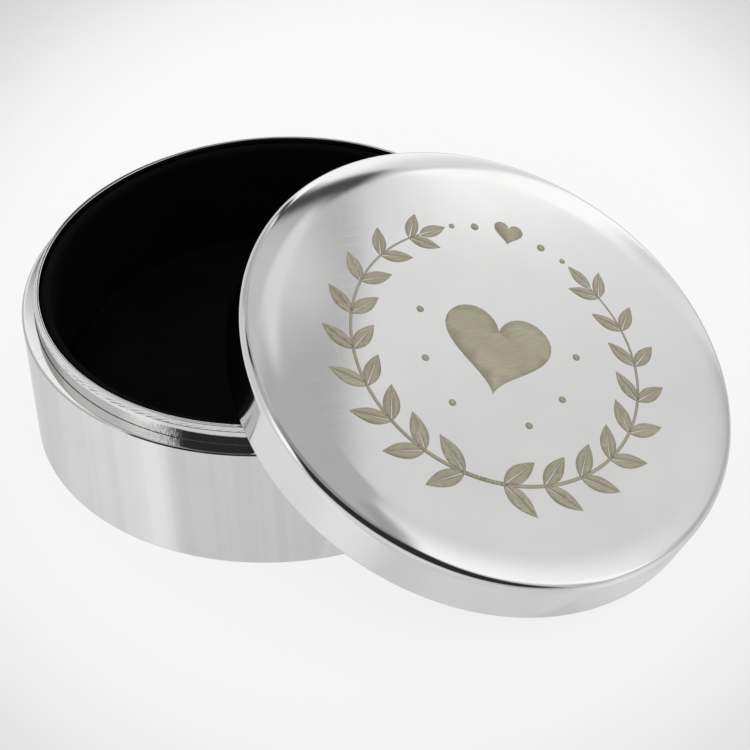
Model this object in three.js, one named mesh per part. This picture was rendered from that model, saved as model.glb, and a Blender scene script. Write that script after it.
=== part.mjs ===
// A round keepsake box for a lock of hair: a polished drum lined with black velvet,
// and a loose lid that leans on the drum's neck with its skirt on the table.
// Millimetres, +Z up. The box stands on z = 0 and the origin is the middle of its underside.
import * as THREE from "three";

// Driving dimensions
const radius = 30; // outside of the drum and of the lid's skirt
const shoulderHeight = 16.6; // rim of the drum, on which the closed lid rests
const neckHeight = 19.1; // top of the ring that the lid slips over
const skirtHeight = 6.6; // lid from its lower edge to the fold of its top
const crown = 0.8; // rise of the lid's top from the fold to its middle
const lean = THREE.MathUtils.degToRad(26); // tilt of the open lid
const leanTurn = THREE.MathUtils.degToRad(-34); // way in which it leans, around the drum
const leanShift = -0.75; // how far it sits off the middle of that lean

// Clearances
const slip = 0.05; // between pieces that are pressed together
const glue = 0.1; // between pieces that are glued together
const rest = 0.3; // between the lid's lining and the neck that it leans on

// Facets around the polished pieces and around the linings
const metalFacets = 80;
const clothFacets = 64;

const nickel = { color: 0xd6d6d4, roughness: 0.12, metalness: 1 };
const velvet = { color: 0x0c0b0c, roughness: 1, metalness: 0 };
const felt = { color: 0x17161a, roughness: 1, metalness: 0 };
const card = { color: 0x8c7f6c, roughness: 0.9, metalness: 0 };
const wadding = { color: 0xe6e2d8, roughness: 1, metalness: 0 };

// Points [radius, height] of an arc in a profile; 0 degrees looks outward and 90 up.
function arc(middle, height, size, from, to, steps = 3) {
  const points = [];
  for (let i = 0; i <= steps; i += 1) {
    const angle = THREE.MathUtils.degToRad(from + ((to - from) * i) / steps);
    points.push([middle + size * Math.cos(angle), height + size * Math.sin(angle)]);
  }
  return points;
}

// Points [radius, height] of a curve given by a height for each radius.
function curve(heightAt, from, to, steps) {
  const points = [];
  for (let i = 0; i <= steps; i += 1) {
    const r = from + ((to - from) * i) / steps;
    points.push([r, heightAt(r)]);
  }
  return points;
}

// A piece made by turning its profile around the Z axis; the profile runs anticlockwise.
function turned(name, profile, facets, look) {
  const points = profile.map(([r, z]) => new THREE.Vector2(r, z));
  const geometry = new THREE.LatheGeometry(points, facets);
  geometry.rotateX(Math.PI / 2);
  const piece = new THREE.Mesh(geometry, new THREE.MeshStandardMaterial(look));
  piece.name = name;
  return piece;
}

// The same for a ring, whose profile comes back to its first point.
function turnedRing(name, profile, facets, look) {
  return turned(name, [...profile, profile[0]], facets, look);
}

// Drum: wall and floor drawn from one sheet, with a recess under the floor for the felt
const drumWall = 1.55;
const drumInside = radius - drumWall;
const footHeight = 0.05; // gap under the metal edge, because the felt stands proud
const footRound = 0.1;
const shoulderRound = 0.15;
const recessRadius = 28.3;
const floorUnder = 1;
const floorTop = 2;
const floorRound = 0.6;

function baseShell() {
  const profile = [
    [0, floorUnder],
    [recessRadius, floorUnder],
    [recessRadius, footHeight],
    ...arc(radius - footRound, footHeight + footRound, footRound, -90, 0),
    ...arc(radius - shoulderRound, shoulderHeight - shoulderRound, shoulderRound, 0, 90, 2),
    [drumInside + shoulderRound, shoulderHeight],
    [drumInside, shoulderHeight - shoulderRound],
    ...arc(drumInside - floorRound, floorTop + floorRound, floorRound, 0, -90, 2),
    [0, floorTop],
  ];
  return turned("base_shell", profile, metalFacets, nickel);
}

// Neck: a thin ring pressed into the drum, with its outer top edge cut to a chamfer
const neckOutside = drumInside - slip;
const neckInside = 27.7;
const neckFoot = 9;
const neckChamfer = 0.5;
const neckChamferHeight = 0.55;
const neckRound = 0.08;

function neckRing() {
  const profile = [
    [neckInside, neckFoot],
    [neckOutside, neckFoot],
    [neckOutside, neckHeight - neckChamferHeight],
    [neckOutside - neckChamfer, neckHeight],
    [neckInside + neckRound, neckHeight],
    [neckInside, neckHeight - neckRound],
  ];
  return turnedRing("neck_ring", profile, metalFacets, nickel);
}

// Wall lining: a card sleeve with a velvet strip inside, turned over the top of the card
const liningTop = neckHeight - 0.5;
const hemThickness = 0.3;
const hemDepth = 4;
const sleeveThickness = 0.4;
const stripThickness = 0.5;
const hemOutside = neckInside - slip;
const sleeveOutside = hemOutside - hemThickness - slip;
const sleeveInside = sleeveOutside - sleeveThickness;
const stripOutside = sleeveInside - slip;
const stripInside = stripOutside - stripThickness;
const foldSize = (hemOutside - stripInside) / 2;
const foldHeight = liningTop - foldSize;

function wallCard() {
  const foot = floorTop + glue;
  const profile = [
    [sleeveInside, foot],
    [sleeveOutside, foot],
    [sleeveOutside, foldHeight - slip],
    [sleeveInside, foldHeight - slip],
  ];
  return turnedRing("wall_card", profile, clothFacets, card);
}

function wallVelvet() {
  const foot = floorTop + glue;
  const hemFoot = foldHeight - hemDepth;
  const profile = [
    [stripInside, foot],
    [stripOutside, foot],
    [stripOutside, foldHeight],
    [sleeveOutside + slip, foldHeight],
    [sleeveOutside + slip, hemFoot],
    [hemOutside, hemFoot],
    ...arc(hemOutside - foldSize, foldHeight, foldSize, 0, 180, 4),
  ];
  return turnedRing("wall_velvet", profile, clothFacets, velvet);
}

// Floor pad: a card disc, thin wadding and a velvet cover drawn down over both
const padRadius = stripInside - 0.1;
const padCover = 0.5;
const padCardTop = 2.9;
const padShoulder = 4.6; // height at which the pad's side turns into its top
const padRound = 0.9;
const padCrown = 0.7;
const padInside = padRadius - padCover - slip;

// Top of the pad at a radius, as a shallow dome that meets the rounded side
function padHeight(r) {
  const edge = padRadius - padRound;
  return padShoulder + padRound + padCrown * (1 - (r / edge) ** 2);
}

function floorCard() {
  const foot = floorTop + glue;
  const profile = [[0, foot], [padInside, foot], [padInside, padCardTop], [0, padCardTop]];
  return turned("floor_card", profile, clothFacets, card);
}

function floorWadding() {
  const foot = padCardTop + slip;
  const under = padCover + slip;
  const edge = padRadius - padRound;
  const profile = [
    [0, foot],
    [padInside, foot],
    ...arc(edge, padShoulder, padRound - under, 0, 90),
    ...curve((r) => padHeight(r) - under, edge * 0.6, 0, 2),
  ];
  return turned("floor_wadding", profile, clothFacets, wadding);
}

function floorVelvet() {
  const foot = floorTop + glue;
  const edge = padRadius - padRound;
  const profile = [
    ...curve((r) => padHeight(r) - padCover, 0, edge * 0.6, 2),
    ...arc(edge, padShoulder, padRound - padCover, 90, 0),
    [padRadius - padCover, foot],
    [padRadius, foot],
    ...arc(edge, padShoulder, padRound, 0, 90),
    ...curve(padHeight, edge * 0.6, 0, 2),
  ];
  return turned("floor_velvet", profile, clothFacets, velvet);
}

// Felt under the floor; the box stands on it
function baseFelt() {
  const feltRadius = recessRadius - 0.2;
  const feltTop = floorUnder - glue;
  const profile = [[0, 0], [feltRadius, 0], [feltRadius, feltTop], [0, feltTop]];
  return turned("base_felt", profile, clothFacets, felt);
}

// Lid, measured from the plane of its skirt's lower edge
const lidSheet = 0.8;
const skirtInside = 28.9;
const skirtRound = 0.3; // outer lower edge of the skirt, which stands on the table
const foldRound = 1.2; // bend from the skirt to the top
const foldTurn = 76; // degrees of that bend, up to the slope of the top's border
const borderStart = 25.5; // radius where the flat crown begins to fall faster
const borderShare = 0.5; // part of the crown's rise that lies in the border
const foldAngle = THREE.MathUtils.degToRad(foldTurn);
const topRadius = radius - foldRound + foldRound * Math.cos(foldAngle);
const topEdgeHeight = skirtHeight - foldRound + foldRound * Math.sin(foldAngle);

// Height of the lid's top at a radius: a shallow dome whose border rolls off
function lidHeight(r) {
  const dome = (r / topRadius) ** 2;
  const border = Math.max(0, (r - borderStart) / (topRadius - borderStart)) ** 2;
  return topEdgeHeight + crown * (1 - (1 - borderShare) * dome - borderShare * border);
}

function lidShell() {
  const innerRound = 0.8;
  const plateEdge = skirtInside - innerRound;
  const under = (r) => lidHeight(r) - lidSheet;
  const profile = [
    ...curve(under, 0, borderStart, 3),
    ...arc(plateEdge, under(plateEdge) - innerRound, innerRound, 90, 0),
    [skirtInside, skirtRound],
    [skirtInside + skirtRound, 0],
    ...arc(radius - skirtRound, skirtRound, skirtRound, -90, 0, 2),
    ...arc(radius - foldRound, skirtHeight - foldRound, foldRound, 0, foldTurn, 5),
    ...curve(lidHeight, (topRadius + borderStart) / 2, borderStart, 1),
    ...curve(lidHeight, borderStart * 0.67, 0, 2),
  ];
  return turned("lid_shell", profile, metalFacets, nickel);
}

const lidLiningRadius = 26.5;
const lidLiningThickness = 0.8; // velvet on thin card
const lidLiningTop = (r) => lidHeight(r) - lidSheet - glue;

function lidLining() {
  const under = (r) => lidLiningTop(r) - lidLiningThickness;
  const profile = [...curve(under, 0, lidLiningRadius, 3), ...curve(lidLiningTop, lidLiningRadius, 0, 3)];
  return turned("lid_lining", profile, clothFacets, velvet);
}

const base = new THREE.Group();
base.add(baseShell(), neckRing(), wallCard(), wallVelvet());
base.add(floorCard(), floorWadding(), floorVelvet(), baseFelt());

// The open lid: its skirt stands on the table and its lining leans on the neck's top edge.
const lid = new THREE.Group();
lid.add(lidShell(), lidLining());
const neckReach = (neckOutside - neckChamfer) * Math.sin(lean) + neckHeight * Math.cos(lean);
const liningReach = lidLiningTop(0) - lidLiningThickness - rest;
const lidRise = (radius - skirtRound) * Math.sin(lean) + skirtRound * (1 - Math.cos(lean));
const lidOut = (neckReach - liningReach - lidRise * Math.cos(lean)) / Math.sin(lean);
lid.position.set(lidOut, leanShift, lidRise);
lid.rotation.y = lean;

const leaningWay = new THREE.Group();
leaningWay.rotation.z = leanTurn;
leaningWay.add(lid);

const keepsakeBox = new THREE.Group();
keepsakeBox.name = "keepsake_box";
keepsakeBox.add(base, leaningWay);

export default keepsakeBox;
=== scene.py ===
# %% [markdown]
# A round keepsake box for a baby's first lock of hair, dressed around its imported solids.
# The box is a pressed drum with a thin neck ring, lined with black velvet, and a loose lid
# that leans on the neck with its skirt on the table. Every mesh is in metres and in the
# solids' own frame, so a piece goes where its solid is and needs no fitting.

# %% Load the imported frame
import math

import bmesh
import bpy
from mathutils import Matrix, Vector, noise


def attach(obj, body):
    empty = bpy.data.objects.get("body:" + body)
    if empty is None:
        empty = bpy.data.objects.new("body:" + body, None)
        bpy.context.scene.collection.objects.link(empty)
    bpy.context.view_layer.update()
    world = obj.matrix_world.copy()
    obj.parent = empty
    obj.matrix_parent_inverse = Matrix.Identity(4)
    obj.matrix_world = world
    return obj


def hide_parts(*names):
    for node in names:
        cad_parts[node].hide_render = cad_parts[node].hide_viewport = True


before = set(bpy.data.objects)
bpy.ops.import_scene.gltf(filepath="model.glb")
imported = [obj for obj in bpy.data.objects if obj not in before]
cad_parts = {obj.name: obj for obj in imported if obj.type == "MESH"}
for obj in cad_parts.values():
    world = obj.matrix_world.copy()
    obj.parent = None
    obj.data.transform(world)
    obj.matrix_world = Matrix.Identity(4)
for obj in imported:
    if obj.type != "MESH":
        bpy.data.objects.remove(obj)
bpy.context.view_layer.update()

# %% [markdown]
# Nearly every piece of this box is round, so a piece is drawn as half a section and turned.
# The section could be typed as a list of points, but arcs and runs keep the few lengths that
# matter readable. Lengths are in millimetres here, and become metres when a mesh is made.

# %% Lengths shared by the pieces
MM = 0.001
radius = 30.0
shoulder_height = 16.6
neck_height = 19.1
neck_inside = 27.7
neck_outside = 28.4
skirt_height = 6.6
print("drum", 2 * radius, "mm wide, neck to", neck_height, "mm, lid", skirt_height, "mm at its edge")


# %% Arcs, runs and turning
def arc(middle, height, size, start, end, steps):
    """Points of an arc in a section; 0 degrees looks outward and 90 looks up."""
    turns = [math.radians(start + (end - start) * i / steps) for i in range(steps + 1)]
    return [(middle + size * math.cos(a), height + size * math.sin(a)) for a in turns]


def run(start, end, steps):
    """Points of a straight stretch of a section, without its last one."""
    shares = [i / steps for i in range(steps)]
    return [tuple(a + (b - a) * t for a, b in zip(start, end)) for t in shares]


def turned(section, steps, closed=False):
    """A section of (radius, height) points spun once around Z into a closed skin."""
    bm = bmesh.new()
    rim = [bm.verts.new((r * MM, 0, z * MM)) for r, z in section]
    following = rim[1:] + rim[:1] if closed else rim[1:]
    lines = [bm.edges.new(pair) for pair in zip(rim, following)]
    bmesh.ops.spin(
        bm, geom=rim + lines, cent=(0, 0, 0), axis=(0, 0, 1), dvec=(0, 0, 0),
        angle=math.tau, steps=steps, use_merge=True,
    )
    bmesh.ops.remove_doubles(bm, verts=bm.verts, dist=1e-7)
    bmesh.ops.recalc_face_normals(bm, faces=bm.faces)
    return bm


print("a quarter round in two steps:", [(round(r, 2), round(z, 2)) for r, z in arc(0, 0, 1, 0, 90, 2)])


# %% From a mesh to a piece
def piece(name, bm, finish, body, replaced=()):
    """Makes the object of a finished bmesh, smooth, on its body and in its solid's place."""
    mesh = bpy.data.meshes.new(name)
    bm.to_mesh(mesh)
    bm.free()
    mesh.shade_smooth()
    mesh.materials.append(finish)
    made = bpy.data.objects.new(name, mesh)
    bpy.context.scene.collection.objects.link(made)
    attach(made, body)
    if replaced:
        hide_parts(*replaced)
    print(name, "has", len(mesh.polygons), "faces")
    return made


# %% [markdown]
# The lid leans, so its pieces are made upright around their own axis and then carried to
# where the lid stands. Its place follows from three facts: how far it tilts, that its skirt
# stands on the table, and that its lining rests on the neck's top edge.

# %% Crown of the lid
skirt_round = 0.3
lid_sheet = 0.8
fold_round = 1.2
fold_turn = 76
border_start = 25.5
crown = 0.8
border_share = 0.5
fold_angle = math.radians(fold_turn)
top_radius = radius - fold_round + fold_round * math.cos(fold_angle)
top_edge_height = skirt_height - fold_round + fold_round * math.sin(fold_angle)


def lid_height(r):
    """Height of the lid's top over its skirt's lower edge: a shallow dome that rolls off."""
    dome = (r / top_radius) ** 2
    border = max(0.0, (r - border_start) / (top_radius - border_start)) ** 2
    return top_edge_height + crown * (1 - (1 - border_share) * dome - border_share * border)


print("lid", round(lid_height(0), 2), "mm high in the middle")

# %% Where the lid stands
lid_lean = math.radians(26)
lid_turn = math.radians(-34)
lid_shift = -0.75
lining_gap = 0.1
lining_thickness = 0.8
rest_gap = 0.3
neck_chamfer = 0.5
lean_sine = math.sin(lid_lean)
lean_cosine = math.cos(lid_lean)
lid_rise = (radius - skirt_round) * lean_sine + skirt_round * (1 - lean_cosine)
neck_reach = (neck_outside - neck_chamfer) * lean_sine + neck_height * lean_cosine
lining_reach = lid_height(0) - lid_sheet - lining_gap - lining_thickness - rest_gap
lid_out = (neck_reach - lining_reach - lid_rise * lean_cosine) / lean_sine
lid_place = (
    Matrix.Rotation(lid_turn, 4, "Z")
    @ Matrix.Translation(Vector((lid_out, lid_shift, lid_rise)) * MM)
    @ Matrix.Rotation(lid_lean, 4, "Y")
)

# %% [markdown]
# Finishes are node trees, and a tree built link by link is hard to read. A small class wraps
# a socket so that Python's own operators add the Math nodes, and one method adds any other
# node from its type, its settings and what goes into its sockets.


# %% Shader sums
class Tone:
    """A number that varies over a surface; each operator adds one Math node."""

    def __init__(self, tree, socket):
        self.tree = tree
        self.socket = socket

    def __add__(self, other):
        return self.tree.maths("ADD", self, other)

    def __sub__(self, other):
        return self.tree.maths("SUBTRACT", self, other)

    def __rsub__(self, other):
        return self.tree.maths("SUBTRACT", other, self)

    def __mul__(self, other):
        return self.tree.maths("MULTIPLY", self, other)

    def __truediv__(self, other):
        return self.tree.maths("DIVIDE", self, other)

    def __rpow__(self, other):
        return self.tree.maths("POWER", other, self)

    def __abs__(self):
        return self.tree.maths("ABSOLUTE", self)

    __radd__ = __add__
    __rmul__ = __mul__

    def larger(self, other):
        """The larger of two tones, so that one mask can lie over another."""
        return self.tree.maths("MAXIMUM", self, other)

    def fade(self, start, end):
        """A smooth step from 0 at start to 1 at end; start may be the larger."""
        inputs = {"Value": self, "From Min": start, "From Max": end}
        return self.tree.add("ShaderNodeMapRange", {"interpolation_type": "SMOOTHSTEP"}, inputs)

    def band(self, low, high, soft):
        """1 between two limits, with soft ends."""
        return self.fade(low - soft, low + soft) * self.fade(high + soft, high - soft)


# %% Node trees
class Tree:
    """A node tree of a material or the world, emptied and ready to be filled."""

    def __init__(self, owner):
        owner.use_nodes = True
        self.nodes = owner.node_tree.nodes
        self.links = owner.node_tree.links
        self.nodes.clear()

    def add(self, kind, settings=None, inputs=None, output=0):
        """Any node: its settings first, then the values or links of its sockets."""
        node = self.nodes.new(kind)
        for key, value in (settings or {}).items():
            setattr(node, key, value)
        for key, value in (inputs or {}).items():
            if isinstance(value, Tone):
                self.links.new(value.socket, node.inputs[key])
            else:
                node.inputs[key].default_value = value
        return Tone(self, node.outputs[output]) if node.outputs else None

    def maths(self, operation, first, second=0.0):
        return self.add("ShaderNodeMath", {"operation": operation}, {0: first, 1: second})

    def split(self, place):
        """The three numbers of a place or a direction."""
        return [self.add("ShaderNodeSeparateXYZ", None, {0: place}, axis) for axis in "XYZ"]

    def mixed(self, share, first, second):
        """A colour between two, by a share from 0 to 1."""
        settings = {"data_type": "RGBA", "clamp_factor": True}
        return self.add("ShaderNodeMix", settings, {0: share, 6: first, 7: second}, output=2)

    def noise(self, place, scale, detail=2.0, roughness=0.5):
        inputs = {"Vector": place, "Scale": scale, "Detail": detail, "Roughness": roughness}
        return self.add("ShaderNodeTexNoise", None, inputs)

    def streaks(self, value, scale, detail=2.0):
        """Noise along one value only."""
        inputs = {"W": value, "Scale": scale, "Detail": detail}
        return self.add("ShaderNodeTexNoise", {"noise_dimensions": "1D"}, inputs)

    def stretched(self, place, size, turn=(0, 0, 0)):
        inputs = {"Vector": place, "Rotation": turn, "Scale": size}
        return self.add("ShaderNodeMapping", {"vector_type": "TEXTURE"}, inputs)

    def bump(self, height, depth, before=None):
        inputs = {"Height": height, "Distance": depth, "Strength": 1.0}
        if before is not None:
            inputs["Normal"] = before
        return self.add("ShaderNodeBump", None, inputs)


def material(name):
    made = bpy.data.materials.new(name)
    return made, Tree(made)


def shaded(tree, inputs):
    """Ends a material's tree in one Principled shader."""
    shader = tree.add("ShaderNodeBsdfPrincipled", None, inputs)
    tree.add("ShaderNodeOutputMaterial", None, {"Surface": shader})


# %% [markdown]
# The drum, the neck and the lid are nickel plate, polished to a mirror. A perfect mirror looks
# like a drawing, so small faults are laid over it: the sheet is a little wavy from the press,
# wiping has left hairline scratches that spread the gloss, and a few pits stayed dark. Polish
# has dried in the seams as well, and the lid has left a few dents where it was set down. A few
# dark marks on the drum and the neck are painted reflections: streaks down the drum's wall, and
# lines along the shoulder's edge and the foot of the rim's taper, each darkest over one arc.

# %% Polished nickel
cloud_scale = 130.0
wipe_along = (0.012, 0.0002, 0.004)
wipe_across = (0.0002, 0.009, 0.004)
wipe_depth = -2e-7
pit_scale = 150.0
scuff_depth = 4e-5
nickel_roughness = 0.055
nickel_light = (0.80, 0.80, 0.795, 1)
nickel_dull = (0.77, 0.77, 0.765, 1)
nickel_edge = (0.86, 0.86, 0.86, 1)
residue_and_reflection_dark = (0.03, 0.03, 0.03, 1)


def nickel(name, wave_size, wave_depth, pits, residue_and_painted_marks=None, scuffs=None):
    """Polished plate: wave_size in metres is the sheet's unevenness, pits a share of cells."""
    made, tree = material(name)
    place = tree.add("ShaderNodeTexCoord", output="Object")
    wave = tree.noise(place, 1 / wave_size, 1.0)
    cloud = tree.noise(place, cloud_scale, 2.0)
    one_way = tree.noise(tree.stretched(place, wipe_along, (0, 0, 0.5)), 1.0, 1.0)
    other_way = tree.noise(tree.stretched(place, wipe_across, (0, 0, 0.2)), 1.0, 1.0)
    hairlines = one_way.fade(0.60, 0.72) * 0.6 + other_way.fade(0.62, 0.74) * 0.6
    cells = {"Vector": place, "Scale": pit_scale}
    spot = tree.add("ShaderNodeTexVoronoi", None, cells, output="Distance")
    chance = tree.add("ShaderNodeTexVoronoi", None, cells, output="Color")
    dirt_and_painted_reflection = spot.fade(0.022, 0.012) * chance.fade(1 - pits, 1 - pits + 0.01)
    if residue_and_painted_marks:
        dirt_and_painted_reflection = dirt_and_painted_reflection.larger(residue_and_painted_marks(tree, place))
    colour = tree.mixed(cloud.fade(0.35, 0.75), nickel_light, nickel_dull)
    colour = tree.mixed(hairlines * 0.1, colour, nickel_dull)
    # Dark pits and dried polish, and on the drum and neck painted reflections, all laid in as dark
    # colour
    colour = tree.mixed(dirt_and_painted_reflection, colour, residue_and_reflection_dark)
    rough = nickel_roughness + cloud * 0.03 + hairlines * 0.05 + dirt_and_painted_reflection * 0.3
    shape = tree.bump(wave, wave_depth)
    shape = tree.bump(hairlines, wipe_depth, shape)
    if scuffs:
        shape = tree.bump(scuffs(tree, place), scuff_depth, shape)
    shaded(tree, {
        "Base Color": colour, "Metallic": 1.0, "Roughness": rough, "Normal": shape,
        "Specular Tint": nickel_edge,
    })
    return made


# %% Dried polish, painted reflections and dents
shoulder_bevel = 0.18
taper_height = 0.55
chatter_marks = 150
chatter_slant = 24.0
chatter_middle = math.radians(-128)
chatter_spread = math.radians(34)
# Arc where the painted dark line along the shoulder's edge, a reflection, is darkest
dark_edge_arc = (math.radians(-123), math.radians(-106))
# Arc of the painted dark line at the taper's foot, a reflection
dark_taper_arc = (math.radians(-118), math.radians(-75))
scuff_arc = (math.radians(-123), math.radians(-112))
scuff_size = 0.0003


def around(tree, place):
    """Distance from the box's axis and height, in millimetres, and the way round in radians."""
    east, north, up = tree.split(place)
    flat = tree.add("ShaderNodeVectorMath", {"operation": "MULTIPLY"}, {0: place, 1: (1, 1, 0)})
    reach = tree.add("ShaderNodeVectorMath", {"operation": "LENGTH"}, {0: flat}, "Value")
    return reach / MM, up / MM, tree.maths("ARCTAN2", north, east)


def drum_residue_and_reflections(tree, place):
    """Polish left in the seam at the neck; painted reflections as a dark shoulder-edge line and wall
    streaks.
    """
    reach, height, turn = around(tree, place)
    above = height - shoulder_height
    dashes = tree.streaks(turn, 110.0, 3.0)
    seam = (reach - neck_outside).fade(0.10, 0.08) * above.fade(-0.4, -0.2) * dashes.fade(0.47, 0.60)
    # Painted reflection: a dark line along the shoulder's edge, in dashes all round and darkest over
    # one arc
    dark_arc = turn.band(*dark_edge_arc, 0.04)
    edge = 0.1 + dashes * 0.4 + dark_arc * 0.8
    edge = edge * (reach - radius).fade(-0.17, -0.12) * (above + shoulder_bevel).fade(0, 0.05)
    # Painted reflection: faint darker streaks down the wall, standing in for the soft bands the wall
    # mirrors
    streaks = tree.streaks(turn, 11.0).fade(0.42, 0.60) * above.fade(0, -0.2) * 0.04
    return (seam * 0.65).larger(edge) + streaks


def neck_residue_and_reflection(tree, place):
    """Polish in the rim's chatter marks and at the neck's foot, and a painted reflection at the
    taper's foot.
    """
    height, turn = around(tree, place)[1:]
    above = height - shoulder_height
    up_taper = height - (neck_height - taper_height)
    away = (turn - chatter_middle) / chatter_spread
    swell = math.e ** (-1.0 * away * away) * tree.streaks(turn, 14.0).fade(0.30, 0.55)
    wave = tree.maths("SINE", turn * chatter_marks - height * chatter_slant)
    ticks = wave.fade(-0.1, 0.9) * swell * up_taper.fade(-0.11, -0.03) * up_taper.fade(0.43, 0.01)
    # Painted reflection: a dark line along the foot of the taper, over one arc at the front
    cut = up_taper.band(-0.05, 0.02, 0.02) * turn.band(*dark_taper_arc, 0.08)
    foot = above.fade(0.05, 0.01) * tree.streaks(turn, 120.0, 3.0).fade(0.50, 0.62)
    rim = (ticks * 0.8).larger(cut * 0.9)
    return rim.larger(foot * 0.5)


def rim_scuffs(tree, place):
    """Small dents where the lid has been set down on the shoulder and knocked the neck."""
    height, turn = around(tree, place)[1:]
    above = height - shoulder_height
    patch = turn.band(*scuff_arc, 0.05) * above.fade(-0.3, -0.1) * above.fade(1.2, 0.8)
    return tree.noise(place, 1 / scuff_size, 2.0, 0.7) * patch


drum_nickel = nickel("drum_nickel", 0.009, 8e-6, 0.03, drum_residue_and_reflections, rim_scuffs)
neck_nickel = nickel("neck_nickel", 0.0016, 1.2e-5, 0.05, neck_residue_and_reflection, rim_scuffs)
lid_nickel = nickel("lid_nickel", 0.016, 8e-6, 0.03)
print("nickel finishes:", [m.name for m in (drum_nickel, neck_nickel, lid_nickel)])

# %% [markdown]
# The drum is one pressed cup: floor, wall and shoulder. A cylinder with a bevel would do for
# the outside, but the recess under the floor and the soft corner inside would be missing, so
# the whole section is turned. The shoulder ends in a narrow bevel, which draws a thin line of
# its own. Short runs beside each edge keep the flats flat in the mirror, because smooth
# shading otherwise bends the reflection over the nearest long face.

# %% Drum
metal_steps = 288
drum_inside = 28.45
foot_height = 0.05
foot_round = 0.1
foot_break = 0.02
bevel_round = 0.03
recess_radius = 28.3
floor_under = 1.0
floor_top = 2.0
floor_middle = 4
inner_round = 0.6
edge_run = 0.25

drum_section = [
    (0, floor_under),
    *run((floor_middle, floor_under), (recess_radius, floor_under), 6),
    (recess_radius, floor_under),
    (recess_radius, foot_height + foot_break),
    *arc(radius - foot_round, foot_height + foot_round, foot_round, -90, 0, 8),
    (radius, foot_height + foot_round + edge_run),
    (radius, shoulder_height - shoulder_bevel - edge_run),
    *arc(radius - bevel_round, shoulder_height - shoulder_bevel, bevel_round, 0, 45, 3),
    *arc(radius - shoulder_bevel, shoulder_height - bevel_round, bevel_round, 45, 90, 3),
    (radius - shoulder_bevel - edge_run, shoulder_height),
    (drum_inside + 2 * bevel_round, shoulder_height),
    *arc(drum_inside + bevel_round, shoulder_height - bevel_round, bevel_round, 90, 180, 3),
    (drum_inside, floor_top + inner_round + edge_run),
    *arc(drum_inside - inner_round, floor_top + inner_round, inner_round, 0, -90, 6),
    *run((drum_inside - inner_round - edge_run, floor_top), (floor_middle, floor_top), 6),
    (0, floor_top),
]
piece("drum", turned(drum_section, metal_steps), drum_nickel, "base", ["base_shell"])

# %% [markdown]
# The neck is a thin ring pressed into the drum; the lid slips over it. Its top was cut to a
# slight taper on a lathe that chattered, and the slanting marks still catch the light like the
# lay of a rope. They could be a bump in the finish, but the rim is the crispest line of the
# box, so the marks are moved into the mesh: a slanted wave that swells and fades on its way.

# %% Neck ring
neck_foot = 9.0
neck_hidden = 0.2
taper_step = 0.02
taper_width = 0.25
taper_guard = 0.05
lip_round = 0.08
lip_depth = 0.6
taper_foot = (neck_outside - taper_step, neck_height - taper_height)
taper_top = (neck_outside - taper_width, neck_height - taper_guard)

neck_section = [
    (neck_inside, neck_foot),
    (neck_outside, neck_foot),
    (neck_outside, shoulder_height - neck_hidden),
    *run((neck_outside, shoulder_height), (neck_outside, taper_foot[1] - 2 * taper_guard), 4),
    (neck_outside, taper_foot[1] - taper_guard),
    *run(taper_foot, taper_top, 14),
    taper_top,
    (taper_top[0] - 0.03, neck_height - 0.01),
    (taper_top[0] - lip_round, neck_height),
    (neck_inside + lip_round, neck_height),
    *arc(neck_inside + lip_round, neck_height - lip_round, lip_round, 110, 180, 3),
    (neck_inside, neck_height - lip_depth),
]
print("neck section of", len(neck_section), "points")

# %% Chatter marks
steps_per_mark = 12
chatter_depth = 0.007
swell_middle = 0.6
swell_lumps = 6
shiver_size = 0.8
shiver_lumps = 40

neck_mesh = turned(neck_section, steps_per_mark * chatter_marks, closed=True)
for v in neck_mesh.verts:
    drop = neck_height - v.co.z / MM
    if drop < taper_height and v.co.xy.length > taper_top[0] * MM:
        angle = math.atan2(v.co.y, v.co.x)
        outward = Vector((math.cos(angle), math.sin(angle), 0))
        swell = max(swell_middle + noise.noise(outward * swell_lumps), 0)
        swell *= math.exp(-((angle - chatter_middle) / chatter_spread) ** 2)
        shiver = shiver_size * noise.noise(outward * shiver_lumps)
        mark = math.sin(chatter_marks * angle + chatter_slant * drop + shiver)
        v.co += outward * swell * chatter_depth * mark * MM
piece("neck", neck_mesh, neck_nickel, "base", ["neck_ring"])

# %% [markdown]
# The lining is black velvet. Real pile is a forest of short threads; at this size they are
# finer than a pixel, so the finish carries them: almost no colour of its own, a sheen where
# the threads are seen from the side, and patches where a finger has laid the pile over.

# %% Velvet and felt
velvet_deep = (0.0009, 0.0008, 0.0009, 1)
velvet_laid = (0.0023, 0.0022, 0.0024, 1)
felt_deep = (0.010, 0.010, 0.011, 1)
felt_laid = (0.03, 0.029, 0.032, 1)
sheen_tint = (0.5, 0.5, 0.52, 1)
patch_scale = 140.0
patch_depth = 1.5e-4


def pile(name, deep, laid, thread, sheen):
    """A short pile: thread is the size of one tuft in metres."""
    made, tree = material(name)
    place = tree.add("ShaderNodeTexCoord", output="Object")
    tufts = tree.noise(place, 1 / thread, 2.0, 0.7)
    patches = tree.noise(place, patch_scale, 3.0, 0.6)
    laid_over = patches.fade(0.42, 0.66) * 0.6 + tufts.fade(0.4, 0.7) * 0.4
    colour = tree.mixed(laid_over, deep, laid)
    shape = tree.bump(tufts, thread * 0.8)
    shape = tree.bump(patches, patch_depth, shape)
    rough = 0.85 + tufts * 0.15
    shaded(tree, {
        "Base Color": colour, "Roughness": rough, "Normal": shape, "Specular IOR Level": 0.1,
        "Sheen Weight": sheen, "Sheen Roughness": 0.4, "Sheen Tint": sheen_tint,
    })
    return made


velvet = pile("black_velvet", velvet_deep, velvet_laid, 0.00016, 0.002)
felt = pile("black_felt", felt_deep, felt_laid, 0.0004, 0.03)
print("cloth finishes:", velvet.name, felt.name)

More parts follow.
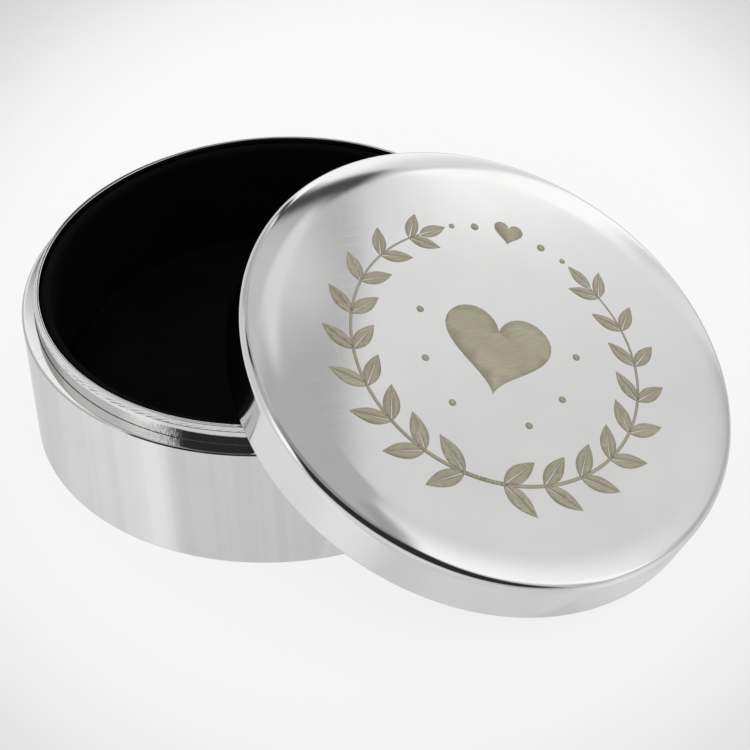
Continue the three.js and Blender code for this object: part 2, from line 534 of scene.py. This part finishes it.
# %% [markdown]
# The wall lining is a velvet strip glued into a card sleeve and turned over its top edge. It
# is a spun section as well, but cloth is never that true, so the strip is let wander by a
# tenth of a millimetre, and its two ends meet in a butt seam at the back of the box.

# %% Wall lining
lining_top = neck_height - 0.5
strip_steps = 240
strip_inside = 26.35
strip_outside = 26.85
hem_inside = 27.35
hem_outside = 27.65
hem_foot = 13.9
card_gap = 0.05
floor_gap = 0.15
fold_size = (hem_outside - strip_inside) / 2
fold_height = lining_top - fold_size

strip_section = [
    *run((strip_inside, floor_top + floor_gap), (strip_inside, fold_height), 24),
    *reversed(arc(strip_inside + fold_size, fold_height, fold_size, 0, 180, 12)),
    (hem_outside, hem_foot),
    (hem_inside, hem_foot),
    (hem_inside, fold_height - card_gap),
    (strip_outside, fold_height - card_gap),
    (strip_outside, floor_top + floor_gap),
]
strip_length = math.tau * strip_inside * MM
strip_width = (fold_height - floor_top + math.pi * fold_size + fold_height - hem_foot) * MM
print("strip cut to", round(strip_length * 1000, 1), "by", round(strip_width * 1000, 1), "mm")

# %% Wander and seam of the lining
slow_wander = 0.07
slow_lumps = 0.16
fine_wander = 0.03
fine_lumps = 0.9
seam_angle = math.radians(118)
seam_width = 0.35
seam_depth = 0.22
seam_dip = 0.6

strip_mesh = turned(strip_section, strip_steps, closed=True)
for v in strip_mesh.verts:
    reach = math.hypot(v.co.x, v.co.y) / MM
    if reach < strip_outside - 0.1 or v.co.z / MM > fold_height:
        outward = Vector((v.co.x, v.co.y, 0)).normalized()
        angle = math.atan2(v.co.y, v.co.x)
        wander = slow_wander * noise.noise(v.co / MM * slow_lumps)
        wander += fine_wander * noise.noise(v.co / MM * fine_lumps)
        away = abs(angle - seam_angle) * strip_inside
        seam = seam_depth * math.exp(-(away / seam_width) ** 2)
        v.co += outward * (wander + (seam if reach < strip_outside else 0)) * MM
        v.co.z -= seam * seam_dip * MM if v.co.z / MM > fold_height else 0
wall_lining = piece("wall_lining", strip_mesh, velvet, "base", ["wall_velvet"])

# %% [markdown]
# The floor pad is velvet drawn over thin wadding on a card disc. Cloth pressed up from inside
# gives the crowned top and the drawn-in edge of a real pad. The solver likes sizes near half a
# metre, so the pad is blown up ten times larger and brought back to its size afterwards.

# %% Skin of the floor pad
pad_radius = 26.2
pad_foot = floor_top + floor_gap
pad_foot_inset = 0.7
pad_foot_round = 0.5
pad_edge = 4.7
pad_edge_inset = 1.1
pad_edge_round = 0.9
pad_top = pad_edge + 1.0

pad_section = [
    (0, pad_foot),
    *run((3, pad_foot), (pad_radius - pad_foot_inset, pad_foot), 8),
    *arc(pad_radius - pad_foot_inset, pad_foot + pad_foot_round, pad_foot_round, -90, 0, 4),
    *arc(pad_radius - pad_edge_inset, pad_edge, pad_edge_round, 0, 90, 5),
    *run((pad_radius - 1.6, pad_edge + 0.92), (0, pad_top), 8),
    (0, pad_top),
]
pad_skin = turned(pad_section, 96)
print("pad skin has", len(pad_skin.faces), "faces before it is blown up")

# %% Blowing up the floor pad
pad_scale = 10.0
pad_voxel = 0.005
pad_pressure = 4.0
pad_swell = 0.55
air_moments = 20


def as_shown(made):
    """The mesh of an object with its modifiers applied."""
    return bpy.data.meshes.new_from_object(made.evaluated_get(bpy.context.evaluated_depsgraph_get()))


def inflated(bm, voxel, pressure, cap):
    """Blows a closed skin up with cloth; each point swells outward, by cap millimetres at most."""
    bmesh.ops.scale(bm, vec=(pad_scale,) * 3, verts=bm.verts)
    start = bpy.data.meshes.new("pad_start")
    bm.to_mesh(start)
    bm.free()
    blown = bpy.data.objects.new("pad_blown", start)
    bpy.context.scene.collection.objects.link(blown)
    remesh = blown.modifiers.new("even", "REMESH")
    remesh.mode = "VOXEL"
    remesh.voxel_size = voxel
    even = as_shown(blown)
    blown.modifiers.clear()
    blown.data = even
    before = [(v.co.copy(), v.normal.copy()) for v in even.vertices]
    cloth = blown.modifiers.new("air", "CLOTH")
    cloth.settings.use_pressure = True
    cloth.settings.uniform_pressure_force = pressure
    cloth.settings.effector_weights.gravity = 0.0
    for moment in range(1, air_moments + 1):
        bpy.context.scene.frame_set(moment)
    shown = as_shown(blown)
    bpy.data.objects.remove(blown)
    bpy.context.scene.frame_set(1)
    for v, (old, outward) in zip(shown.vertices, before):
        swell = min(max((v.co - old).dot(outward), 0), cap * MM * pad_scale)
        v.co = old + outward * swell
    done = bmesh.new()
    done.from_mesh(shown)
    bmesh.ops.scale(done, vec=(1 / pad_scale,) * 3, verts=done.verts)
    return done


pad_mesh = inflated(pad_skin, pad_voxel, pad_pressure, pad_swell)
print("pad blown up to", round(max(v.co.z for v in pad_mesh.verts) / MM, 2), "mm")

# %% Floor pad
pad_lump_height = 0.06
pad_lumps = 0.22

for v in pad_mesh.verts:
    reach = math.hypot(v.co.x, v.co.y) / MM
    if reach > pad_radius:
        v.co.x *= pad_radius / reach
        v.co.y *= pad_radius / reach
    v.co.z = max(v.co.z, pad_foot * MM)
    if v.co.z > pad_edge * MM:
        v.co.z += pad_lump_height * noise.noise(v.co / MM * pad_lumps) * MM
floor_pad = piece("floor_pad", pad_mesh, velvet, "base", ["floor_velvet"])
smoothing = floor_pad.modifiers.new("smooth", "SUBSURF")
smoothing.levels = smoothing.render_levels = 1

# %% [markdown]
# A felt disc in the recess under the floor keeps the metal edge off the table. It is a plain
# turned disc whose face is flat and whose soft cut edge is a little uneven.

# %% Felt underside
felt_radius = recess_radius - 0.2
felt_top = floor_under - 0.1
felt_middle = 2
felt_round = 0.25
felt_fray = 0.004
felt_fray_lumps = 1.3

felt_section = [
    (0, 0),
    *run((felt_middle, 0), (felt_radius - felt_round, 0), 12),
    *arc(felt_radius - felt_round, felt_round, felt_round, -90, 0, 4),
    (felt_radius, felt_top),
    *run((felt_radius - 2 * felt_round, felt_top), (felt_middle, felt_top), 12),
    (0, felt_top),
]
felt_mesh = turned(felt_section, 180)
for v in felt_mesh.verts:
    if math.hypot(v.co.x, v.co.y) > (felt_radius - 0.3) * MM:
        fray = 1 + felt_fray * noise.noise(v.co / MM * felt_fray_lumps)
        v.co.x *= fray
        v.co.y *= fray
underside = piece("felt_underside", felt_mesh, felt, "base", ["base_felt"])

# %% [markdown]
# The lid is pressed like the drum: a crowned top, a tight fold and a short skirt. The crown is
# what shapes its reflections, so the top is drawn from the same formula as the solid, with
# points close together where the border rolls off and where the fold turns down.

# %% Lid
skirt_inside = 28.9
lid_corner = 0.8
plate_edge = skirt_inside - lid_corner
border_points = 14
crown_points = 16


def under(r):
    """Height of the plate's underside."""
    return lid_height(r) - lid_sheet


def curve(height_at, start, end, steps):
    """Points of a section whose height is a formula of the radius."""
    reach = [start + (end - start) * i / steps for i in range(steps + 1)]
    return [(r, height_at(r)) for r in reach]


lid_section = [
    *curve(under, 0, plate_edge - 0.4, crown_points),
    *arc(plate_edge, under(plate_edge) - lid_corner, lid_corner, 90, 0, 6),
    (skirt_inside, under(plate_edge) - lid_corner - edge_run),
    (skirt_inside, skirt_round + edge_run),
    *arc(skirt_inside + skirt_round, skirt_round, skirt_round, 180, 270, 4),
    *arc(radius - skirt_round, skirt_round, skirt_round, -90, 0, 8),
    (radius, skirt_round + edge_run),
    (radius, skirt_height - fold_round - edge_run),
    *arc(radius - fold_round, skirt_height - fold_round, fold_round, 0, fold_turn, 14),
    *curve(lid_height, top_radius - 0.1, border_start, border_points),
    *curve(lid_height, border_start - 0.6, 0, crown_points),
]
lid_mesh = turned(lid_section, metal_steps)
lid_mesh.transform(lid_place)
piece("lid", lid_mesh, lid_nickel, "lid", ["lid_shell"])

# %% [markdown]
# Under the crown is a disc of velvet on thin card, glued in. A flat disc would pass through the
# plate at the border, so both of its faces follow the crown's formula, one gap of glue lower.

# %% Lid lining
lid_lining_radius = 26.5
cut_edge_width = 0.15
cut_edge_height = 0.12


def lining_top_height(r):
    return under(r) - lining_gap


def lining_under_height(r):
    return lining_top_height(r) - lining_thickness


lid_lining_section = [
    *curve(lining_under_height, 0, lid_lining_radius - cut_edge_width, 20),
    (lid_lining_radius, lining_under_height(lid_lining_radius) + cut_edge_height),
    *curve(lining_top_height, lid_lining_radius, 0, 12),
]
lid_lining_mesh = turned(lid_lining_section, 180)
lid_lining_mesh.transform(lid_place)
lid_lining = piece("lid_velvet", lid_lining_mesh, velvet, "lid", ["lid_lining"])

# %% [markdown]
# The lid carries a mark cut by a laser: the plating is gone there and the warm metal below
# shows, matt and hatched by the beam. The motif here is a plain wreath of leafy sprigs with a
# heart in it. It could be a mask in the lid's finish, but drawn as thin shapes it keeps crisp
# edges from close by. Each shape is made flat, cut fine enough to bend, and laid on the crown.

# %% Etched metal
etched_dark = (0.405, 0.366, 0.272, 1)
etched_light = (0.485, 0.445, 0.340, 1)
hatch_dark = (0.325, 0.293, 0.218, 1)
hatch_size = (0.0016, 0.00005, 0.0008)
hatch_turn = (0.2, 0.3, 0.55)
hatch_depth = 8e-6

etched, tree = material("etched_metal")
place = tree.add("ShaderNodeTexCoord", output="Object")
hatch = tree.noise(tree.stretched(place, hatch_size, hatch_turn), 1.0, 2.0)
drift = tree.noise(place, 120.0, 2.0)
etched_colour = tree.mixed(drift.fade(0.3, 0.7), etched_dark, etched_light)
etched_colour = tree.mixed(hatch.fade(0.45, 0.65) * 0.5, etched_colour, hatch_dark)
shaded(tree, {
    "Base Color": etched_colour, "Metallic": 0.55, "Roughness": 0.46 + hatch * 0.12,
    "Normal": tree.bump(hatch, hatch_depth),
})
print("etched finish of", len(tree.nodes), "nodes")

# %% Laying a shape on the lid
mark_turn = math.radians(118)
mark_lift = 0.02
mark_depth = 0.03
mark_reach = 26
cut_step = 2


def laid_on_lid(bm):
    """Bends flat shapes, drawn upright in millimetres, over the lid's crown."""
    for reach in range(-mark_reach, mark_reach + 1, cut_step):
        for way in (Vector((1, 0, 0)), Vector((0, 1, 0))):
            parts = bm.verts[:] + bm.edges[:] + bm.faces[:]
            bmesh.ops.bisect_plane(bm, geom=parts, dist=1e-6, plane_co=way * reach, plane_no=way)
    bmesh.ops.triangulate(bm, faces=bm.faces)
    bmesh.ops.recalc_face_normals(bm, faces=bm.faces)
    upside = sum(f.normal.z for f in bm.faces)
    if upside < 0:
        bmesh.ops.reverse_faces(bm, faces=bm.faces)
    raised = bmesh.ops.extrude_face_region(bm, geom=bm.faces[:])["geom"]
    lifted = {g for g in raised if isinstance(g, bmesh.types.BMVert)}
    upright = Matrix.Rotation(mark_turn - math.pi / 2, 3, "Z")
    bmesh.ops.rotate(bm, verts=bm.verts, cent=(0, 0, 0), matrix=upright)
    for v in bm.verts:
        surface = lid_height(math.hypot(v.co.x, v.co.y))
        v.co.z = surface + mark_lift - (0 if v in lifted else mark_depth)
    bmesh.ops.scale(bm, vec=(MM, MM, MM), verts=bm.verts)
    bmesh.ops.recalc_face_normals(bm, faces=bm.faces)
    bm.transform(lid_place)
    return bm


print("marks stand", mark_lift, "mm over the lid's top")


# %% Hearts and dots
def add_heart(bm, middle, width):
    """A heart from a filled circle, each point moved onto the well-known heart curve."""
    ring = bmesh.ops.create_circle(bm, cap_ends=True, segments=64, radius=1)["verts"]
    for v in ring:
        t = math.atan2(v.co.x, v.co.y)
        across = math.sin(t) ** 3
        up = (13 * math.cos(t) - 5 * math.cos(2 * t) - 2 * math.cos(3 * t) - math.cos(4 * t)) / 16
        v.co = Vector((middle[0] + across * width / 2, middle[1] + up * width / 2, 0))


def add_dot(bm, middle, size):
    ring = bmesh.ops.create_circle(bm, cap_ends=True, segments=20, radius=size)["verts"]
    bmesh.ops.translate(bm, vec=(middle[0], middle[1], 0), verts=ring)


hearts = bmesh.new()
add_heart(hearts, (0, 1.0), 13.0)
add_heart(hearts, (0, 18.3), 3.6)

small_dot = 0.35
plain_dot = 0.45
large_dot = 0.5
dots = bmesh.new()
for side in (1, -1):
    add_dot(dots, (side * 4.2, 17.6), large_dot)
    add_dot(dots, (side * 7.0, 16.6), small_dot)
    for across, up in ((9.6, 3.0), (8.3, -3.6), (4.6, -8.6)):
        add_dot(dots, (side * across, up), plain_dot)
print("hearts and dots of", len(hearts.verts), "and", len(dots.verts), "points")

# %% Leaves and stem
wreath_radius = 17.5
sprig_start = math.radians(-97)
sprig_end = math.radians(52)
stem_width = 0.55
stem_taper = 0.6
vein_width = 0.07
leaf_pairs = 9
leaf_length = 5.4
leaf_shortening = 1.6
leaf_slimness = 0.42
leaf_spread = 0.75
tip_length = 3.8
tip_width = 1.6


def add_leaf(bm, foot, aim, length, width):
    """An almond leaf in two halves, widest below its middle, with a bare vein between them."""
    for side in (1, -1):
        half = bmesh.ops.create_grid(bm, x_segments=10, y_segments=1, size=0.5)["verts"]
        for v in half:
            t = v.co.x + 0.5
            belly = 0.5 * width * math.sin(math.pi * t ** 0.85) ** 0.9
            vein = vein_width * (1 - t)
            y = vein + max(belly - vein, 0.01) * (v.co.y + 0.5)
            v.co = Vector((length * t, side * y, 0))
        bmesh.ops.rotate(bm, verts=half, cent=(0, 0, 0), matrix=Matrix.Rotation(aim, 3, "Z"))
        bmesh.ops.translate(bm, vec=(foot[0], foot[1], 0), verts=half)


def on_stem(t, side):
    """Where the stem is at a share of its length, and the way in which it grows there."""
    angle = sprig_start + (sprig_end - sprig_start) * t
    foot = (side * wreath_radius * math.cos(angle), wreath_radius * math.sin(angle))
    return foot, math.atan2(math.cos(angle), side * -math.sin(angle))


def add_stem(bm, side):
    """A grid bent into one side of the wreath, slimmer towards its tip."""
    stem = bmesh.ops.create_grid(bm, x_segments=48, y_segments=1, size=0.5)["verts"]
    for v in stem:
        t = v.co.x + 0.5
        angle = sprig_start + (sprig_end - sprig_start) * t
        reach = wreath_radius + v.co.y * stem_width * (1 - stem_taper * t)
        v.co = Vector((side * reach * math.cos(angle), reach * math.sin(angle), 0))


print("wreath", 2 * wreath_radius, "mm wide, with", leaf_pairs, "pairs of leaves on each side")

# %% Wreath, and all marks laid on the lid
wreath = bmesh.new()
for side in (1, -1):
    add_stem(wreath, side)
    for i in range(leaf_pairs):
        t = (i + 0.9) / (leaf_pairs + 0.2)
        foot, ahead = on_stem(t, side)
        length = leaf_length - leaf_shortening * t
        for spread in (leaf_spread, -leaf_spread):
            add_leaf(wreath, foot, ahead + spread, length, leaf_slimness * length)
    foot, ahead = on_stem(1, side)
    add_leaf(wreath, foot, ahead, tip_length, tip_width)
for name, shapes in {"etched_wreath": wreath, "etched_hearts": hearts, "etched_dots": dots}.items():
    piece(name, laid_on_lid(shapes), etched, "lid")

# %% [markdown]
# Card and wadding are hidden under the velvet, and their solids already have the right shape.
# They keep those solids and get a finish each: pressed fibres for the card, loose ones for
# the wadding.

# %% Hidden card and wadding
card_light = (0.30, 0.25, 0.18, 1)
card_dark = (0.20, 0.16, 0.11, 1)
wadding_light = (0.82, 0.79, 0.72, 1)
wadding_dark = (0.66, 0.62, 0.55, 1)


def fibres(name, light, dark, size, depth):
    """Strands six times longer than wide, with flecks between them."""
    made, tree = material(name)
    place = tree.add("ShaderNodeTexCoord", output="Object")
    strands = tree.noise(tree.stretched(place, (size * 6, size, size)), 1.0, 4.0, 0.65)
    flecks = tree.noise(place, 0.5 / size, 2.0)
    colour = tree.mixed(strands.fade(0.3, 0.7) * 0.7 + flecks * 0.3, dark, light)
    shaded(tree, {
        "Base Color": colour, "Roughness": 0.8 + strands * 0.15,
        "Normal": tree.bump(strands, depth),
    })
    return made


lining_board = fibres("lining_board", card_light, card_dark, 0.0003, 4e-5)
loose_wadding = fibres("loose_wadding", wadding_light, wadding_dark, 0.0006, 2e-4)
hidden = {"wall_card": lining_board, "floor_card": lining_board, "floor_wadding": loose_wadding}
for node, finish in hidden.items():
    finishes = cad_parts[node].data.materials
    finishes.clear()
    finishes.append(finish)
    print(node, "gets", finish.name)

# %% [markdown]
# The box stands on a plain pale table, with painted shade for the camera that darkens it a little
# towards the picture's borders. A product table is lit from below as well, so shadows are faint:
# for the camera and in mirrors most of the table's brightness is its own, and only the rest is
# light that the box can shade. Such a table is a glossy sheet, and where the drum and the skirt
# mirror it they show its gloss. In mirrors it has painted shade as well: a little all over, and
# more towards its far right.

# %% Table
table_half = 3.0
table_mesh = bmesh.new()
bmesh.ops.create_grid(table_mesh, x_segments=2, y_segments=2, size=table_half)
table_data = bpy.data.meshes.new("table")
table_mesh.to_mesh(table_data)
table_mesh.free()
table_top = bpy.data.objects.new("table", table_data)
bpy.context.scene.collection.objects.link(table_top)
print("table", 2 * table_half, "m wide")

# %% Table finish
table_glow = 0.88
table_gloss = 0.21
table_polish = 0.12
border_shade = 0.33
mirror_shade = 0.06
right_shade = 0.32
far_shade = 0.2
table_middle = (0.0115, 0.018)
table_reach = (0.056, 0.078)
table_colour = (0.95, 0.95, 0.95, 1)
white = (1, 1, 1, 1)

table_finish, tree = material("pale_table")
place = tree.add("ShaderNodeTexCoord", output="Object")
across, along = tree.split(place)[:2]
aside = (across - table_middle[0]) / table_reach[0]
away = (along - table_middle[1]) / table_reach[1]
# Painted shade for the camera only: the table darkens towards the borders of the view
border = (aside * aside + away * away).fade(0.65, 2.0)
seen = tree.add("ShaderNodeLightPath", output="Is Camera Ray")
mirrored = tree.add("ShaderNodeLightPath", output="Is Glossy Ray")
matt = tree.add("ShaderNodeBsdfDiffuse", None, {"Color": table_colour})
# Painted shade for mirrors only: the table is a little darker in reflections, most at its far right
mirror_painted_shade = mirror_shade + across.fade(0.04, 0.07) * right_shade + across.fade(0.075, 0.13) * far_shade
strength = 1 - seen * border * border_shade - mirrored * mirror_painted_shade
lit = tree.add("ShaderNodeEmission", None, {"Color": table_colour, "Strength": strength})
share = seen.larger(mirrored) * table_glow
both = tree.add("ShaderNodeMixShader", None, {0: share, 1: matt, 2: lit})
polish = tree.add("ShaderNodeBsdfGlossy", None, {"Color": white, "Roughness": table_polish})
both = tree.add("ShaderNodeMixShader", None, {0: mirrored * table_gloss, 1: both, 2: polish})
tree.add("ShaderNodeOutputMaterial", None, {"Surface": both})
table_data.materials.append(table_finish)
print("table finish of", len(tree.nodes), "nodes")

# %% [markdown]
# Polished metal shows the room, so the room is the lighting. The world is an even white for
# everything matt and for the camera. What mirrors see of it is a plain studio: white walls, a
# greyer ceiling, a large soft lamp to the right, a white board with a dark frame at the back,
# and the darkness around the camera that draws the black line along every fold that faces it.
# Places in the room are in degrees: the compass is 0 along +X, 90 along +Y at the back and
# -90 at the camera, and the height is 0 at the horizon. The whole room is turned a little, so
# that its edges fall on the lid where the photograph shows them.

# %% Directions in the studio
world = bpy.data.worlds.new("studio")
bpy.context.scene.world = world
tree = Tree(world)
room_axis = (-0.813, 0.387, 0.434)
room_turn = math.radians(1.68)
way = tree.add("ShaderNodeTexCoord", output="Generated")
turn = {"Vector": way, "Axis": room_axis, "Angle": room_turn}
way = tree.add("ShaderNodeVectorRotate", {"rotation_type": "AXIS_ANGLE"}, turn)
east, north, up = tree.split(way)
degrees = 180 / math.pi
compass = tree.maths("ARCTAN2", north, east) * degrees
height = tree.maths("ARCSINE", up) * degrees


def panel(sides, ends):
    """A mask with soft edges: from, to and softness along the compass, and then upward."""
    return compass.band(*sides) * height.band(*ends)


def laid(room, mask, brightness):
    """The room with a panel of another brightness in front of it."""
    return room + mask * (brightness - room)


print("room turned by", round(room_turn * degrees, 2), "degrees")

# %% Walls and ceiling
wall_bright = 0.72
low_wall_shade = 0.18
back_wall_shade = 0.24
ceiling_bright = 0.50
ceiling_shade = 0.18
ceiling_light = 0.13
patch_bright = 0.82

# The right wall is darker below, and the back wall at the left of the board
low_wall = compass.band(-35, 36, 4) * low_wall_shade
room = wall_bright - height.fade(27, 12) * low_wall
room = room - panel((106, 142, 6), (18, 47, 5)) * back_wall_shade

# The ceiling is darkest above the camera and has a light patch at the back right
ceiling = ceiling_bright - compass.band(-155, -18, 12) * ceiling_shade
ceiling = ceiling + compass.band(50, 100, 8) * height.fade(47, 55) * ceiling_light
ceiling_start = 51 - compass.band(-25, 103, 8) * 7
room = laid(room, (height - ceiling_start).fade(-3, 3), ceiling)
light_patch = compass.band(41, 56.5, 3) * height.fade(45.5, 48.5) * height.fade(66, 56)
room = laid(room, light_patch, patch_bright)
print("walls at", wall_bright, "and ceiling at", ceiling_bright)

# %% Lamps
lamp_bright = 0.78
lamp_near_light = 0.38
lamp_far_light = 0.1
hood_shade = 0.045
hood_near_shade = 0.06
left_lamp_bright = 1.2

# Soft lamp to the right, brightest at its near end, with a hood that shades a line above it
lamp_top = 58.5 - compass.fade(12, 36) * 9.8 - compass.fade(34, 46) * 4
lamp_soft = 0.4 + compass.fade(18, 2) * 1.2
near_end = compass.fade(16, 4)
hood_size = 1 + near_end * 3
hood = compass.band(-27, 44, 4) * ((height - lamp_top) / hood_size).band(0.4, 1.3, 0.4)
room = room - hood * (hood_shade + near_end * hood_near_shade)
lamp = compass.band(-27, 46, 4) * ((lamp_top - height) / lamp_soft).fade(-1, 1)
low_end = height.fade(13, 35).larger(compass.fade(34, 40))
low_end = low_end.larger(compass.fade(8, -12) * height.fade(-4, 10))
lamp_light = lamp_bright + compass.fade(24, -14) * lamp_near_light
lamp_light = lamp_light + compass.fade(32, 40) * lamp_far_light
room = laid(room, lamp * low_end, lamp_light)

# Lamp at the left, beside the dark of the camera
room = laid(room, panel((-166, -143, 10), (20, 50, 6)), left_lamp_bright)
print("lamps at", lamp_bright, "and", left_lamp_bright)

# %% White board
board_bright = 0.86
board_left_light = 0.3
strip_bright = 1.22
frame_bright = 0.07

# The board is brighter at its left, and a bright strip ends it at its right
board = compass.band(55, 103, 3) * height.fade(43, 40)
room = laid(room, board, board_bright + compass.fade(59, 69) * board_left_light)
strip_left = 41.3 + height.fade(38, 16) * 8.2 + height.fade(38.5, 42.5) * 1.3
strip_right = 57.4 + height.fade(22, 4) * 2 - height.fade(24, 44) * 6
strip = (compass - strip_left).fade(-3, 3) * (strip_right - compass).fade(-1.5, 1.5)
room = laid(room, strip * height.fade(44.2, 40.8), strip_bright)

# Its dark frame runs along the top and bends down at the left
frame_line = 44.2 - compass.fade(52, 58) * 1.4 + compass.fade(55, 74) * 3.9
frame_line = frame_line - compass.fade(80, 128) * 46
frame_half = 1.8 + compass.fade(52, 58) * 1.6 - compass.fade(58, 72) * 0.5 + compass.fade(86, 99) * 3
bar = (frame_half - abs(height - frame_line)).fade(-1.8, 1.8)
room = laid(room, bar * compass.band(50.5, 107, 3) * height.fade(-4, 4), frame_bright)
print("board at", board_bright, "and its frame at", frame_bright)

# %% Darkness and light of the world
dark_bright = 0.025
even_light = 1.0

# Darkness around the camera, and one dark corner at the back left
dark_drop = compass.fade(-110, -45) * 16
dark = compass.band(-143, -40, 5) * (height + dark_drop).fade(12, 22) * height.fade(65, 55)
room = laid(room, dark.larger(panel((145, 164, 5), (50, 70, 5))), dark_bright)

mirrored = tree.add("ShaderNodeLightPath", output="Is Glossy Ray")
strength = even_light + mirrored * (room - even_light)
sky = tree.add("ShaderNodeBackground", None, {"Color": white, "Strength": strength})
tree.add("ShaderNodeOutputWorld", None, {"Surface": sky})
print("studio of", len(tree.nodes), "nodes")

# %% [markdown]
# The camera looks down by about forty degrees from a forearm's length away, a little rolled.
# Its place and lens come from fitting the circles of the rim, the shoulder, the foot and the
# lid to the photograph's edges, in a frame of 750 by 750.

# %% Camera
frame_side = 750
focal_length = 2593.4
camera_distance = 322.3
camera_lift = math.radians(39.94)
camera_roll = math.radians(-2.881)
camera_aim = (11.617, 2.688)

ahead = Vector((0, math.cos(camera_lift), -math.sin(camera_lift)))
level = Vector((1, 0, 0))
upward = Vector((0, math.sin(camera_lift), math.cos(camera_lift)))
rightward = level * math.cos(camera_roll) + upward * math.sin(camera_roll)
upward = upward * math.cos(camera_roll) - level * math.sin(camera_roll)
camera_data = bpy.data.cameras.new("photo_camera")
camera_data.sensor_width = 36.0
camera_data.lens = focal_length / frame_side * camera_data.sensor_width
camera_data.clip_start = 0.01
camera_data.clip_end = 20.0
camera = bpy.data.objects.new("photo_camera", camera_data)
bpy.context.scene.collection.objects.link(camera)
spot = Vector((camera_aim[0], camera_aim[1], 0)) - ahead * camera_distance
looking = Matrix((rightward, upward, -ahead)).transposed().to_4x4()
camera.matrix_world = Matrix.Translation(spot * MM) @ looking
bpy.context.scene.camera = camera
bpy.context.scene.view_settings.view_transform = "Standard"
print("lens", round(camera_data.lens, 1), "mm, camera at", [round(v, 3) for v in camera.location])
